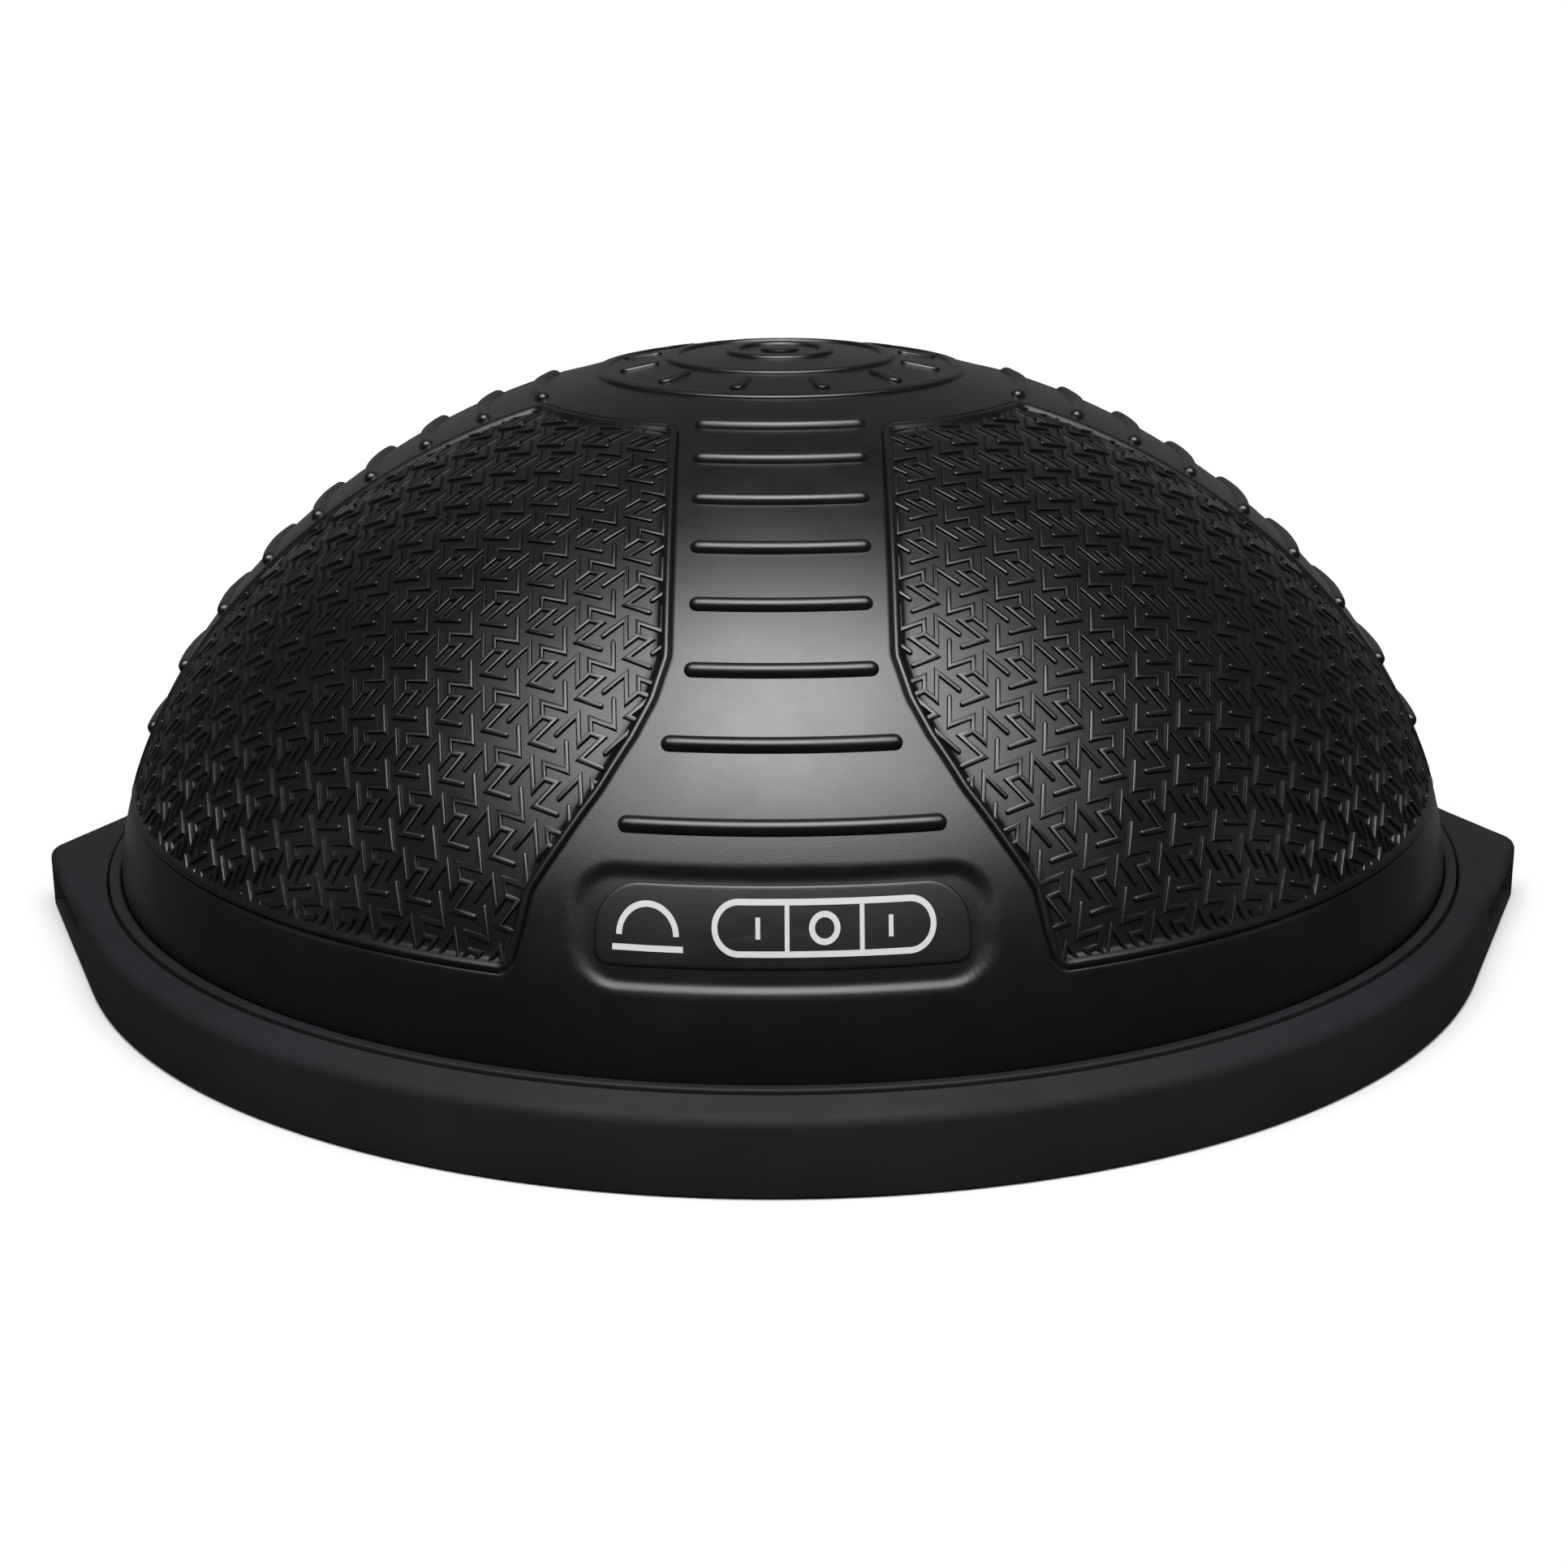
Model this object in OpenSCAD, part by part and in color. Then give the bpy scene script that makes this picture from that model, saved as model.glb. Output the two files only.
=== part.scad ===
// Balance dome trainer: an inflated rubber dome clamped on a round platform.
// Units are mm, Z is up, the origin is the centre of the footprint on the floor.
// The label side faces -Y and the two finger grips sit on the X axis.

/* [Dome] */
// radius of the dome where it meets the rim
dome_radius = 298.7; // [280:0.1:310]
// height of the dome's widest ring above the floor
dome_base_z = 35.4; // [30:0.1:45]
// rise of the dome above its widest ring
dome_rise = 221.4; // [180:0.1:260]
// roundness of the dome's section across
dome_power_r = 2.1; // [1.8:0.01:2.6]
// roundness of the dome's section upward
dome_power_z = 1.68; // [1.5:0.01:2.4]
// wall thickness of the moulded bladder
wall = 4.5; // [3:0.1:8]
// depth of the four patterned panels below the smooth columns
panel_depth = 2.0; // [1:0.1:3]
// half width of a smooth column between two panels
column_half = 42; // [30:0.5:60]

/* [Ridges] */
// how far a foot ridge stands out of the dome
ridge_height = 2.6; // [1:0.1:4]
// thickness of a foot ridge
ridge_width = 6.4; // [4:0.1:10]
// half length of a foot ridge
ridge_half = 35; // [20:0.5:40]
// angle of the highest ridge, measured from straight up
ridge_first = 27.5; // [20:0.1:40]
// angle from one ridge to the next
ridge_step = 6.33; // [5:0.01:9]

/* [Label] */
// width of the label
label_w = 138; // [100:1:160]
// height of the label's lower edge
label_z0 = 77; // [72:0.5:85]
// height of the label's upper edge
label_z1 = 105; // [95:0.5:110]
// depth of the pocket the label is set in
label_depth = 1.6; // [1:0.1:2.5]

/* [Rim] */
// outer radius of the rubber bumper
rim_radius = 317.5; // [312:0.1:325]
// height of the bumper beside the clamp ring
rim_top = 36.2; // [34:0.1:38]
// height of the platform's underside
rim_bottom = 3; // [2.5:0.1:4]
// height of the bumper's lower edge
skirt_z = 0.7; // [0.5:0.1:2.4]
// distance from the centre to the point of a grip before rounding
grip_reach = 341.5; // [335:0.5:350]
// rounding of the grip's point
grip_round = 15; // [8:0.5:25]
// height of the grip along its middle crease
grip_top = 28.2; // [27:0.1:31]
// distance from a grip's middle to the near end of a finger pocket
pocket_near = 7; // [5:0.5:12]
// distance from a grip's middle to the far end of a finger pocket
pocket_far = 80; // [60:1:84]
// lower edge of a finger pocket beside the grip's middle
pocket_z0 = 4; // [3.5:0.1:6]
// upper edge of a finger pocket
pocket_z1 = 19.5; // [18:0.1:21]
// number of screws that hold the rim together
rim_screw_count = 16; // [8:1:24]

/* [Platform] */
// thickness of the platform's bottom plate
plate = 4; // [3:0.1:6]
// number of stiffening ribs
rib_count = 12; // [6:1:24]
// number of foot pads
foot_count = 6; // [4:1:8]
// radius of a foot pad
foot_radius = 17; // [12:0.5:22]
// distance of the foot pads from the centre
foot_circle = 268; // [240:1:285]
// number of screws that hold the deck on the base
deck_screw_count = 8; // [4:1:12]
// distance of those screws from the centre
deck_screw_circle = 150; // [80:1:200]

/* [Valve] */
// radius of the valve bore
bore_radius = 6.5; // [5:0.1:8]
// radius of the plug's pull head
plug_head = 14; // [10:0.5:18]
// radius of the well around the plug
well_radius = 24; // [20:0.5:30]

/* [Hidden] */
$fn = 96;

lip_top = rim_top + 1;
lip_in = dome_radius + 0.6;
lip_out = lip_in + 5;
bumper_in = lip_out + 1;
clamp_out = 311.3;
shell_r = 311.3;
joint_z = 26.4;
joint_gap = 0.4;
pocket_back = rim_radius - 3;
skirt_in = clamp_out + joint_gap + 1;
skirt_in_z = rim_bottom + 1;
screw_r = 307.7;
wall_in = 296;
shell_top = 16;
cup_flange_r = 44;
cup_lip_r = 50;
ring_rib_r = 222;
rib_end = 292;
rib_low_start = 280;
rib_low_end = 298;
rib_low_h = 11;
post_r = 6.5;
head_recess_r = 5.3;
grommet_hole_r = 17.4;
floor_hole_r = 14.2;
valve_hole_r = 11.2;
first_deck_screw = 22.5;
first_foot = 30;
groove_rings = [62, 132, 206, 240];
deck_z = 20;
deck_top = 24;
floor_z = 24.3;
bead_z = 18.2;
bead_top = 22;
grip_angle = acos(rim_radius / grip_reach);
panel_top = 28.1;
panel_end = 83.2;
foot_recess = 2;
ceiling_z = 14;
rib = 3.6;
post_h = deck_z - rim_bottom - 1.4;

// distance of the dome's skin from the middle of its widest ring, t degrees away from straight up
function reach(t, lo = 150, hi = 330, n = 30) =
  n == 0 ? (lo + hi) / 2
  : let (m = (lo + hi) / 2)
    let (f = pow(m * sin(t) / dome_radius, dome_power_r) + pow(m * cos(t) / dome_rise, dome_power_z))
    f > 1 ? reach(t, lo, m, n - 1) : reach(t, m, hi, n - 1);
// point of the dome's section, moved out of the skin by d
function skin(t, d = 0) =
  let (k = reach(t))
  let (x = k * sin(t))
  let (h = k * cos(t))
  let (nx = dome_power_r * pow(x / dome_radius, dome_power_r - 1) / dome_radius)
  let (nz = dome_power_z * pow(max(h, 0.0001) / dome_rise, dome_power_z - 1) / dome_rise)
  let (l = sqrt(nx * nx + nz * nz))
  [x + d * nx / l, dome_base_z + h + d * nz / l];
// radius of the dome's skin at height z
function skin_r(z) =
  dome_radius * pow(1 - pow((z - dome_base_z) / dome_rise, dome_power_z), 1 / dome_power_r);

// band of the dome's section between the depths d0 and d1
module band(t0, t1, d0, d1, steps) {
  polygon(concat(
    [for (i = [0:steps]) skin(t0 + (t1 - t0) * i / steps, d0)],
    [for (i = [steps:-1:0]) skin(t0 + (t1 - t0) * i / steps, d1)]
  ));
}

// plan of one panel: the front panels give way to the label at their lower end
module panel_plan(front) {
  flare = front ? [[column_half, -216], [54, -241], [80, -260], [94, -269], [104, -330]]
    : [[column_half, -330]];
  polygon(concat([[column_half, -column_half]], flare, [[330, -330], [330, -column_half]]));
}

module panel_cut(front) {
  intersection() {
    rotate_extrude() band(panel_top, panel_end, -panel_depth, 6, 16);
    translate([0, 0, 20]) linear_extrude(260) panel_plan(front);
  }
}

// one raised bar for the feet, lying along the ring at angle t
module ridge(t, half) {
  c = skin(t, ridge_height - ridge_width / 2);
  a = asin(half / c[0]);
  rotate([0, 0, -a]) rotate_extrude(angle = 2 * a) translate([c[0], c[1]])
    circle(d = ridge_width, $fn = 24);
}

module ridges(turn, count, spread) {
  rotate([0, 0, turn]) for (i = [0:count - 1])
    ridge(ridge_first + i * ridge_step, ridge_half + (i > 5 ? spread * (i - 5) : 0));
}

// hollow bladder: dome, flat floor with the valve hole, and the clamped bead around its foot
module dome_bladder() {
  color([0.05, 0.05, 0.055]) {
    difference() {
      union() {
        rotate_extrude() polygon(concat(
          [[0, floor_z]],
          [[dome_radius - wall, floor_z], [dome_radius - wall, bead_z], [lip_out, bead_z]],
          [[lip_out, bead_top], [dome_radius, bead_top]],
          [for (i = [0:30]) skin(90 - i * 3)]
        ));
        ridges(-90, 8, 12);
        ridges(0, 9, 0);
        ridges(90, 9, 0);
        ridges(180, 9, 0);
        // two raised crown rings
        rotate_extrude() translate(skin(21, -1.4)) circle(d = 6, $fn = 24);
        rotate_extrude() translate(skin(12.7, -1.6)) circle(d = 6, $fn = 24);
      }
      rotate_extrude() polygon(concat(
        [[0, floor_z + 3], [dome_radius - wall, floor_z + 3]],
        [for (i = [0:30]) skin(90 - i * 3, -wall)]
      ));
      for (side = [0, 1]) mirror([side, 0, 0]) {
        panel_cut(true);
        mirror([0, 1, 0]) panel_cut(false);
      }
      // pocket for the label
      label_shell(label_z0 - 5, label_z1 + 2, label_w / 2 + 3, -label_depth, 5);
      translate([0, 0, floor_z - 1]) cylinder(r = floor_hole_r, h = 6);
    }
  }
}

// upright piece of the dome's skin on the -Y side
module label_shell(z0, z1, half, d0, d1) {
  n = 8;
  a = asin(half / skin_r(z0));
  rotate([0, 0, -90 - a]) rotate_extrude(angle = 2 * a) polygon(concat(
    [for (i = [0:n]) [skin_r(z0 + (z1 - z0) * i / n) + d0, z0 + (z1 - z0) * i / n]],
    [for (i = [n:-1:0]) [skin_r(z0 + (z1 - z0) * i / n) + d1, z0 + (z1 - z0) * i / n]]
  ));
}

module label_front() {
  color([0.12, 0.12, 0.125]) label_shell(label_z0, label_z1, label_w / 2, -label_depth + 0.15, -0.5);
}

// stiff ring that presses the bladder's bead on the platform and shows as a lip around the dome
module clamp_ring() {
  color([0.13, 0.14, 0.15]) difference() {
    rotate_extrude() polygon([
      [lip_in, bead_top + 0.2], [lip_out + 0.7, bead_top + 0.2], [lip_out + 0.7, 16.2],
      [clamp_out, 16.2], [clamp_out, joint_z - joint_gap], [lip_out, joint_z - joint_gap],
      [lip_out, lip_top - 1.2], [lip_out - 1.2, lip_top], [lip_in + 1.2, lip_top], [lip_in, lip_top - 1.2]
    ]);
    at_rim_screws() translate([0, 0, 15]) cylinder(d = 6.6, h = 9.8, $fn = 32);
  }
}

module around(count, radius, first) {
  for (i = [0:count - 1])
    rotate([0, 0, first + i * 360 / count]) translate([radius, 0, 0]) children();
}

module at_rim_screws() {
  around(rim_screw_count, screw_r, 180 / rim_screw_count) children();
}

module at_deck_screws() {
  around(deck_screw_count, deck_screw_circle, first_deck_screw) children();
}

// plan of one grip: two straight sides that run tangent into the rim and a rounded point
module grip_plan() {
  a = grip_angle;
  c = grip_reach - grip_round / cos(a);
  polygon(concat(
    [[0, -rim_radius * sin(a)]],
    [rim_radius * [cos(a), -sin(a)]],
    [for (i = [-5:5]) [c + grip_round * cos(i * a / 5), grip_round * sin(i * a / 5)]],
    [rim_radius * [cos(a), sin(a)]],
    [[0, rim_radius * sin(a)]]
  ));
}

// tilted block that takes the sharp edge off one side of a grip
module grip_edge(side, tilt, drop) {
  rotate([0, 0, side * grip_angle]) translate([rim_radius, 0, grip_top - drop])
    rotate([0, tilt, 0]) translate([-60, -160, 0]) cube([120, 320, 30]);
}

module grip() {
  difference() {
    translate([0, 0, skirt_z]) linear_extrude(grip_top - skirt_z) grip_plan();
    cylinder(r = clamp_out + joint_gap, h = joint_z);
    cylinder(r = skirt_in, h = skirt_in_z);
    cylinder(r = bumper_in + 4, h = 60);
    for (side = [-1, 1]) {
      grip_edge(side, 28, 2.6);
      grip_edge(side, 58, 5.2);
      // each half falls away from the crease in the middle
      translate([250, 0, grip_top]) rotate([side * -2.2, 0, 0])
        translate([0, side > 0 ? 0 : -200, 0]) cube([120, 200, 20]);
    }
  }
}

// hollow under one slanted side of a grip, open outwards; a web stays at the grip's point
module finger_pocket(side) {
  outline = [
    [pocket_near, pocket_z0], [pocket_far * 0.45, pocket_z0 + 0.8], [pocket_far * 0.75, pocket_z0 + 3],
    [pocket_far * 0.93, pocket_z0 + 8], [pocket_far, pocket_z1 - 3], [pocket_far - 2, pocket_z1],
    [pocket_near, pocket_z1]
  ];
  difference() {
    translate([250, 0, 0]) rotate([90, 0, 90]) linear_extrude(110)
      polygon([for (p = outline) [side * p[0], p[1]]]);
    translate([0, 0, pocket_z0 - 1])
      cylinder(r = pocket_back, h = pocket_z1 - pocket_z0 + 2, $fn = 160);
  }
}

// rubber bumper around the platform with a grip on the left and one on the right
module rim_bumper() {
  color([0.15, 0.16, 0.17]) difference() {
    union() {
      rotate_extrude() polygon([
        [clamp_out + joint_gap, skirt_in_z], [skirt_in, rim_bottom], [skirt_in, skirt_z],
        [rim_radius - 1.5, skirt_z], [rim_radius, skirt_z + 1.5], [rim_radius - 1.5, 28.2],
        [rim_radius - 2, 29.6], [rim_radius - 3, 30.7], [rim_radius - 4.4, 31.5],
        [bumper_in + 1, rim_top - 0.3], [bumper_in, rim_top - 1], [bumper_in, joint_z],
        [clamp_out + joint_gap, joint_z]
      ]);
      grip();
      mirror([1, 0, 0]) grip();
    }
    for (side = [-1, 1]) {
      finger_pocket(side);
      mirror([1, 0, 0]) finger_pocket(side);
    }
  }
}

module deck_plate() {
  color([0.32, 0.33, 0.35]) difference() {
    translate([0, 0, deck_z]) cylinder(r = dome_radius - wall - 0.8, h = deck_top - deck_z, $fn = 160);
    translate([0, 0, deck_z - 1]) cylinder(r = grommet_hole_r, h = 6);
    at_deck_screws() translate([0, 0, deck_z - 1]) cylinder(r = 2.8, h = 6, $fn = 32);
    at_deck_screws() translate([0, 0, deck_top - 2.4]) cylinder(r = head_recess_r, h = 3, $fn = 32);
  }
}

// platform: bottom plate, outer wall, ribs and screw posts
module base_shell() {
  color([0.1, 0.1, 0.11]) difference() {
    union() {
      translate([0, 0, rim_bottom]) cylinder(r = shell_r, h = plate, $fn = 160);
      base_ring(shell_r, wall_in, shell_top - rim_bottom - 1);
      base_ring(ring_rib_r, ring_rib_r - rib, post_h);
      for (i = [0:rib_count - 1]) rotate([0, 0, i * 360 / rib_count]) {
        base_rib(cup_lip_r + 1.4, rib_end, post_h);
        base_rib(rib_low_start, rib_low_end, rib_low_h);
      }
      at_deck_screws() translate([0, 0, rim_bottom + 1]) cylinder(r = post_r, h = post_h, $fn = 48);
    }
    translate([0, 0, rim_bottom - 1]) cylinder(r = cup_flange_r + 0.2, h = plate + 2, $fn = 128);
    at_rim_screws() translate([0, 0, rim_bottom - 1]) cylinder(d = 5.6, h = 20, $fn = 32);
    at_deck_screws() translate([0, 0, 9]) cylinder(r = 2.1, h = 20, $fn = 32);
    around(foot_count, foot_circle, first_foot) translate([0, 0, rim_bottom - 1])
      cylinder(r = foot_radius + 0.3, h = foot_recess + 1, $fn = 64);
    // shallow rings moulded in the underside
    for (r = groove_rings) translate([0, 0, rim_bottom - 1]) difference() {
      cylinder(r = r + 1.2, h = 1.8, $fn = 160);
      translate([0, 0, -1]) cylinder(r = r - 1.2, h = 4, $fn = 160);
    }
  }
}

module base_ring(outer, inner, height) {
  translate([0, 0, rim_bottom + 1]) difference() {
    cylinder(r = outer, h = height, $fn = 160);
    translate([0, 0, -1]) cylinder(r = inner, h = height + 2, $fn = 160);
  }
}

module base_rib(start, end, height) {
  translate([start, -rib / 2, rim_bottom + 1]) cube([end - start, rib, height]);
}

// cup that carries the valve: set in the platform from above, with a well for the plug's head below
module valve_cup() {
  color([0.1, 0.1, 0.11]) rotate_extrude($fn = 128) polygon([
    [well_radius + 1, rim_bottom], [cup_flange_r, rim_bottom], [cup_flange_r, rim_bottom + plate + 0.1],
    [cup_lip_r, rim_bottom + plate + 0.1], [cup_lip_r, rim_bottom + plate + 2],
    [well_radius + 3.4, rim_bottom + plate + 2], [well_radius + 3.4, ceiling_z + 2.4],
    [well_radius + 2.2, ceiling_z + 3.6], [valve_hole_r, ceiling_z + 3.6], [valve_hole_r, ceiling_z],
    [well_radius - 1, ceiling_z], [well_radius, ceiling_z - 1], [well_radius, rim_bottom + 1]
  ]);
}

module bead_gasket() {
  color([0.03, 0.03, 0.03]) translate([0, 0, 16.1]) difference() {
    cylinder(r = lip_out - 0.3, h = 1.9, $fn = 160);
    translate([0, 0, -1]) cylinder(r = 297, h = 4, $fn = 160);
  }
}

// one machine screw seen from below: head, shank and a cross of two slots
module machine_screw(head_r, head_h, shank_r, shank_h) {
  difference() {
    cylinder(r = head_r, h = head_h, $fn = 40);
    for (turn = [0, 90]) rotate([0, 0, turn]) translate([-head_r * 0.6, -0.5, -1])
      cube([head_r * 1.2, 1, 1 + head_h * 0.55]);
  }
  translate([0, 0, head_h - 0.01]) cylinder(r = shank_r, h = shank_h, $fn = 32);
}

module rim_screws() {
  color([0.6, 0.61, 0.62]) at_rim_screws() translate([0, 0, rim_bottom - 1.9])
    machine_screw(4.2, 1.8, 2.4, 21);
}

// brass sleeves pressed in the clamp ring for the rim screws
module rim_inserts() {
  color([0.75, 0.6, 0.3]) at_rim_screws() translate([0, 0, 16.4]) difference() {
    cylinder(r = 3.2, h = 7.8, $fn = 32);
    translate([0, 0, -1]) cylinder(r = 2.5, h = 10, $fn = 32);
  }
}

module deck_screws() {
  color([0.6, 0.61, 0.62]) at_deck_screws() translate([0, 0, deck_top - 0.1]) mirror([0, 0, 1])
    machine_screw(4.9, 2.2, 2, 11);
}

// soft seal between the bladder's floor and the valve body
module valve_grommet() {
  color([0.08, 0.08, 0.08]) rotate_extrude() polygon([
    [valve_hole_r, 20], [16.8, 20], [16.8, 23.9], [13.9, 23.9], [13.9, floor_z + 3.2],
    [18.5, floor_z + 3.2], [17.5, floor_z + 5], [valve_hole_r, floor_z + 5.6]
  ]);
}

module valve_body() {
  color([0.7, 0.71, 0.72]) rotate_extrude() polygon([
    [bore_radius, ceiling_z], [10.9, ceiling_z], [10.9, 17.8], [16, 17.8], [16, 19.8],
    [10.9, 19.8], [10.9, floor_z + 6.4], [10, floor_z + 7.2], [bore_radius, floor_z + 7.2]
  ]);
}

// push-in plug with a round pull head below the platform
module valve_plug() {
  stem = bore_radius - 0.1;
  color([0.06, 0.06, 0.065]) difference() {
    rotate_extrude() polygon([
      [0, 7], [5, 7], [5, 8.4], [plug_head - 1.4, 8.4], [plug_head, 9.6], [plug_head, 12.4],
      [plug_head - 1.2, ceiling_z - 0.4], [stem, ceiling_z - 0.4], [stem, 17.6], [5.2, 17.6],
      [5.2, 20], [stem, 20], [stem, 27], [4.6, 30], [0, 30]
    ]);
    for (turn = [0:60:300]) rotate([0, 0, turn]) translate([plug_head + 1.6, 0, 6])
      cylinder(r = 2.4, h = 10, $fn = 32);
  }
}

module valve_o_ring() {
  color([0.02, 0.02, 0.02]) translate([0, 0, 18.8]) rotate_extrude()
    translate([5.82, 0]) circle(r = 0.6, $fn = 24);
}

// one non-slip pad set in the platform's underside
module foot(i) {
  top = rim_bottom + foot_recess - 0.1;
  color([0.2, 0.2, 0.21]) rotate([0, 0, first_foot + (i - 1) * 360 / foot_count])
    translate([foot_circle, 0, 0]) rotate_extrude($fn = 64) polygon([
      [0, 0], [4.6, 0], [4.6, 0.8], [6, 0.8], [6, 0], [9.6, 0], [9.6, 0.8], [11, 0.8], [11, 0],
      [foot_radius - 1, 0], [foot_radius, 1], [foot_radius, top], [0, top]
    ]);
}

dome_bladder();
label_front();
clamp_ring();
rim_bumper();
deck_plate();
base_shell();
valve_cup();
bead_gasket();
rim_screws();
rim_inserts();
deck_screws();
valve_grommet();
valve_body();
valve_plug();
valve_o_ring();
foot(1);  // foot_1
foot(2);  // foot_2
foot(3);  // foot_3
foot(4);  // foot_4
foot(5);  // foot_5
foot(6);  // foot_6
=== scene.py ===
import math

import bpy
import numpy as np
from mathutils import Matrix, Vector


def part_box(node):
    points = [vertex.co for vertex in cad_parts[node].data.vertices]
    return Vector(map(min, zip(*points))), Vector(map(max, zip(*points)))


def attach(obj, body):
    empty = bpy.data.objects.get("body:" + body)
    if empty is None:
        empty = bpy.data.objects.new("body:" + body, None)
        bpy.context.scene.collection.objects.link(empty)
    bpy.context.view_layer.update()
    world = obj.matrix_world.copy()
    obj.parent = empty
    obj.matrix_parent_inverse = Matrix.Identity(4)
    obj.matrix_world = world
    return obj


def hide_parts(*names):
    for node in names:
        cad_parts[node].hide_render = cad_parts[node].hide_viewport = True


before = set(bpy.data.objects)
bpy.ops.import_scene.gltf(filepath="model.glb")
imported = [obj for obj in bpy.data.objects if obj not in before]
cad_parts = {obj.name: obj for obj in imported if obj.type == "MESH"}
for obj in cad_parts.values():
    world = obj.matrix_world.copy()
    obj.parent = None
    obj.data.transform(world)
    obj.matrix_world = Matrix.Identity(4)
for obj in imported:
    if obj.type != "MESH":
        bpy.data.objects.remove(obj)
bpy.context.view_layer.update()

# Lengths are in millimetres until a mesh is made.
MM = 0.001
BODY = "trainer"

# The dome's section is a superellipse around the middle of its widest ring.
WALL = 4.5
BEAD_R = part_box("dome_bladder")[1].x / MM
BEAD_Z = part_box("dome_bladder")[0].z / MM
APEX_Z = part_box("dome_bladder")[1].z / MM
DOME_R = BEAD_R - 5.6
RING_Z = 35.4
RISE = APEX_Z - RING_Z
POWER_R = 2.1
POWER_Z = 1.68
FLOOR_Z = 24.3
FLOOR_HOLE = 14.2

# The four patterned panels between the smooth columns.
COLUMN_HALF = 42.0
PANEL_TOP = 110.5
PANEL_END = 370.0
PANEL_FLOOR = -1.85
CORNER_R = 6.0
# plan of the front columns' border: half width beside the distance forward
FLARE = [(41.3, 219), (46.5, 232), (53.6, 241), (66, 252), (80.5, 260.4), (91.4, 265.6), (95, 271),
         (98.8, 274.6)]
# height of the skin beside the distance into a panel: groove, rounded bead, slope
BORDER = [(-0.9, 0.0), (-0.45, -0.2), (0.0, -0.95), (0.45, -0.25), (0.9, 0.3), (1.8, 0.5), (2.8, 0.1),
          (3.8, -0.85), (4.8, -1.6), (5.8, PANEL_FLOOR)]
# distances into a panel at which the skin has a row or column, from the border to the flat floor
BORDER_STEPS = [-0.9, -0.45, 0, 0.45, 0.9, 1.8, 2.8, 3.8, 4.8, 5.8, 8]

# Foot ridges across the columns.
RIDGE_FIRST = 27.5
RIDGE_STEP = 6.33
RIDGE_HALF = 35.2
RIDGE_FLARE = {5: 1.6, 6: 9.9, 7: 25.7}
RIDGE_PROFILE = [(-3.7, -0.5), (-3.35, 0.1), (-2.95, 0.8), (-2.2, 1.75), (-1.2, 2.4), (0, 2.6), (1.2, 2.4),
                 (2.2, 1.75), (2.95, 0.8), (3.35, 0.1), (3.7, -0.5)]

# Three-armed ribs that fill the panels.
RIB_COLUMN = 20.25
RIB_STEP = 23.6
RIB_X = 58.0
RIB_Y = 178.0
RIB_ARMS = ((210, 5.85), (90, 11.4), (210, 10.7))
RIB_PROFILE = [(-1.2, -0.35), (-1.0, 0.5), (-0.78, 0.98), (-0.34, 1.16), (0.34, 1.16), (0.78, 0.98),
               (1.0, 0.5), (1.2, -0.35)]
# how far inside a panel the ribs end, and how near and far from the crown they are laid out
RIB_CLIP = 2.3
RIB_NEAREST = 90
RIB_FARTHEST = 385

# Label on the front.
LABEL_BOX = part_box("label_front")
LABEL_HALF = 69.0
LABEL_Z0 = LABEL_BOX[0].z / MM
LABEL_Z1 = LABEL_BOX[1].z / MM
FRAME_HALF = 77.0
FRAME_Z0 = 68.5
FRAME_Z1 = 110.0
FRAME_DEPTH = -1.3
FRAME_FILLET = 5.2
FRAME_CORNER = 17
PLATE_TOP = -0.66
PLATE_UNDER = -2.1

# Rim.
LIP_IN = DOME_R + 0.6
LIP_OUT = LIP_IN + 5
LIP_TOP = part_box("clamp_ring")[1].z / MM
CLAMP_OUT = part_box("clamp_ring")[1].x / MM
BUMPER_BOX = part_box("rim_bumper")
RIM_R = BUMPER_BOX[1].y / MM
SKIRT_Z = BUMPER_BOX[0].z / MM
SKIRT_IN = CLAMP_OUT + 1.4
BASE_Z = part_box("base_shell")[0].z / MM
BUMPER_IN = LIP_OUT + 1
JOINT_Z = 26.4
SLOPE_TOP = LIP_TOP - 1.3
SLOPE = (SLOPE_TOP - 31.5) / (RIM_R - 4.4 - BUMPER_IN - 1)
WALL_TAPER = 1.5
WALL_TOP = 28.2
GRIP_REACH = 341.5
GRIP_ROUND = 15.0
GRIP_TOP = 28.2
GRIP_FALL = math.tan(math.radians(2.2))
POCKET_BACK = RIM_R - 3
POCKET_NEAR = 6.0
POCKET_FAR = 80.0
POCKET_TOP = 19.5
POCKET_FLOOR = ((7, 36, 60, 74.4, 80), (4, 4.8, 7, 12, 16.5))


# ---------------------------------------------------------------- the dome as a curved sheet

def section():
    """Length down the skin, radius, height and the outward direction at each, from the apex down."""
    a = np.linspace(0, math.pi / 2, 6001)[::-1]
    r = DOME_R * np.cos(a) ** (2 / POWER_R)
    z = RING_Z + RISE * np.sin(a) ** (2 / POWER_Z)
    r[0] = 0
    s = np.concatenate([[0], np.cumsum(np.hypot(np.diff(r), np.diff(z)))])
    nr = POWER_R * r ** (POWER_R - 1) / DOME_R ** POWER_R
    nz = POWER_Z * (z - RING_Z) ** (POWER_Z - 1) / RISE ** POWER_Z
    size = np.hypot(nr, nz)
    return s, r, z, nr / size, nz / size


S, R, Z, NR, NZ = section()
# distance from the middle of the flat pattern that the ribs were laid out in
RHO = S * (1.0582 - 0.000272 * S)
LENGTH = S[-1]


def radius_at(s):
    return np.interp(s, S, R)


def length_at_height(z):
    """Length down the skin to a height."""
    return float(np.interp(-z, -Z, S))


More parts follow.
